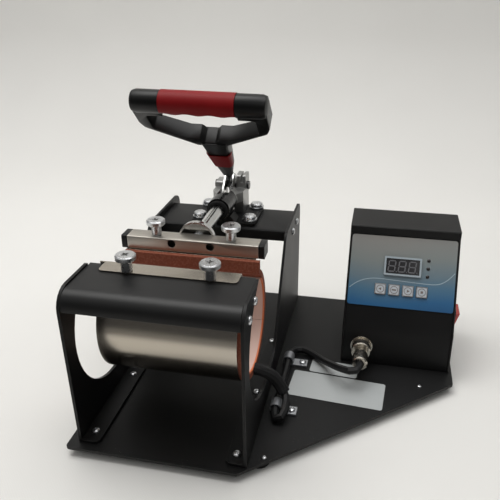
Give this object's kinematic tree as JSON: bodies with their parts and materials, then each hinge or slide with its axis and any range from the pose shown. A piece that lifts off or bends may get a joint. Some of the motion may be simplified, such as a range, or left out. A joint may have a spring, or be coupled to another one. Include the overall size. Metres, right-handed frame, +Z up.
{
  "type": "mug heat press",
  "caption": "Bench mug heat press: a curved heater band on a black steel frame, closed by a toggle clamp with a D handle, with a sloped control box beside it.",
  "frame": {"origin": "on the bench under the centre of the press's outer box", "axes": "+Z up, +Y to the rear (towards the clamp's lever pivot), +X to the right as the operator sees it (towards the control box)"},
  "size_m": [0.317, 0.2796, 0.2682],
  "materials": {
    "painted_steel": "satin powder coat",
    "stainless": "brushed",
    "chrome": "bright",
    "zinc": "zinc plate",
    "dark_steel": "blackened",
    "black_plastic": "satin",
    "red_plastic": "satin",
    "red_silicone": "matt sponge",
    "pale_silicone": "smooth",
    "black_rubber": "matt",
    "overlay": "semi-matt print",
    "display": "gloss",
    "button_grey": "satin",
    "board": "board",
    "grey_clip": "dull"
  },
  "bodies": {
    "frame": {"base_plate": "painted_steel", "foot_front_left": "black_rubber", "foot_front_middle": "black_rubber", "foot_right": "black_rubber", "foot_rear_left": "black_rubber", "foot_rear_right": "black_rubber", "side_plate_left": "painted_steel", "side_plate_right": "painted_steel", "front_cover": "painted_steel", "rear_crossbar": "painted_steel", "heater_shell_front": "stainless", "heater_sponge_front": "red_silicone", "heater_mat_front": "pale_silicone", "clamp_flange": "painted_steel", "clamp_body": "chrome", "clamp_collar": "black_rubber", "clamp_bolt_front_left": "zinc", "clamp_bolt_front_right": "zinc", "clamp_bolt_rear_left": "zinc", "clamp_bolt_rear_right": "zinc", "lever_pin": "dark_steel", "control_cover": "painted_steel", "control_panel": "painted_steel", "panel_overlay": "overlay", "display_module": "display", "control_board": "board", "transformer": "dark_steel", "switch_housing": "black_plastic", "power_inlet": "black_plastic", "connector_socket": "zinc", "connector_plug": "zinc", "heater_lead": "black_rubber", "lead_sleeve": "black_rubber", "lead_clip_front": "grey_clip", "lead_clip_rear": "grey_clip"},
    "press_bar": {"pressing_bar": "stainless", "bar_cap_left": "black_plastic", "bar_cap_right": "black_plastic", "clamp_plunger": "chrome", "plunger_cup": "chrome", "plunger_bolt": "zinc", "heater_shell_rear": "stainless", "heater_sponge_rear": "red_silicone", "heater_mat_rear": "pale_silicone"},
    "lever": {"lever": "dark_steel", "handle_frame": "black_plastic", "handle_grip": "red_plastic", "stem_band": "red_plastic"},
    "link": {"toggle_link": "chrome"},
    "cover_screw_left": {"cover_thumb_screw_left": "zinc"},
    "cover_screw_right": {"cover_thumb_screw_right": "zinc"},
    "bar_screw_left": {"bar_thumb_screw_left": "zinc"},
    "bar_screw_right": {"bar_thumb_screw_right": "zinc"},
    "button_1": {"button_1": "button_grey"},
    "button_2": {"button_2": "button_grey"},
    "button_3": {"button_3": "button_grey"},
    "button_4": {"button_4": "button_grey"},
    "rocker": {"power_rocker": "red_plastic"},
    "ring": {"connector_ring": "zinc"}
  },
  "joints": [
    {"name": "lever_hinge", "type": "hinge", "parent": "frame", "child": "lever", "pos_m": [-0.0792, 0.1202, 0.1498], "axis": [1, 0, 0], "range_deg": [-25, 20]},
    {"name": "bar_slide", "type": "slide", "parent": "frame", "child": "press_bar", "axis": [0, -1, 0], "range_m": [-0.0095, 0.008]},
    {"name": "link_hinge", "type": "hinge", "parent": "lever", "child": "link", "pos_m": [-0.0792, 0.10959, 0.16041], "axis": [1, 0, 0], "range_deg": [-40, 48]},
    {"name": "cover_screw_left_turn", "type": "hinge", "parent": "frame", "child": "cover_screw_left", "pos_m": [-0.1112, -0.0888, 0.1533], "axis": [0, 0, 1], "continuous": true},
    {"name": "cover_screw_right_turn", "type": "hinge", "parent": "frame", "child": "cover_screw_right", "pos_m": [-0.0442, -0.0888, 0.1533], "axis": [0, 0, 1], "continuous": true},
    {"name": "bar_screw_left_turn", "type": "hinge", "parent": "press_bar", "child": "bar_screw_left", "pos_m": [-0.1127, -0.01955, 0.1535], "axis": [0, 0, 1], "continuous": true},
    {"name": "bar_screw_right_turn", "type": "hinge", "parent": "press_bar", "child": "bar_screw_right", "pos_m": [-0.0457, -0.01955, 0.1535], "axis": [0, 0, 1], "continuous": true},
    {"name": "button_1_press", "type": "slide", "parent": "frame", "child": "button_1", "axis": [0, 0.8751, -0.4839], "range_m": [0, 0.0008], "stiffness_N_per_m": 300},
    {"name": "button_2_press", "type": "slide", "parent": "frame", "child": "button_2", "axis": [0, 0.8751, -0.4839], "range_m": [0, 0.0008], "stiffness_N_per_m": 300},
    {"name": "button_3_press", "type": "slide", "parent": "frame", "child": "button_3", "axis": [0, 0.8751, -0.4839], "range_m": [0, 0.0008], "stiffness_N_per_m": 300},
    {"name": "button_4_press", "type": "slide", "parent": "frame", "child": "button_4", "axis": [0, 0.8751, -0.4839], "range_m": [0, 0.0008], "stiffness_N_per_m": 300},
    {"name": "rocker_tilt", "type": "hinge", "parent": "frame", "child": "rocker", "pos_m": [0.15199, 0.0602, 0.0458], "axis": [0, 1, 0], "range_deg": [-18, 0]},
    {"name": "ring_turn", "type": "hinge", "parent": "frame", "child": "ring", "pos_m": [0.0694, 0.02401, 0.0288], "axis": [0, -0.9964, 0.0843], "continuous": true}
  ],
  "couplings": [
    {"joint": "bar_slide", "follows": "lever_hinge", "m_per_rad": 0.0205},
    {"joint": "link_hinge", "follows": "lever_hinge", "ratio": -1.556}
  ]
}
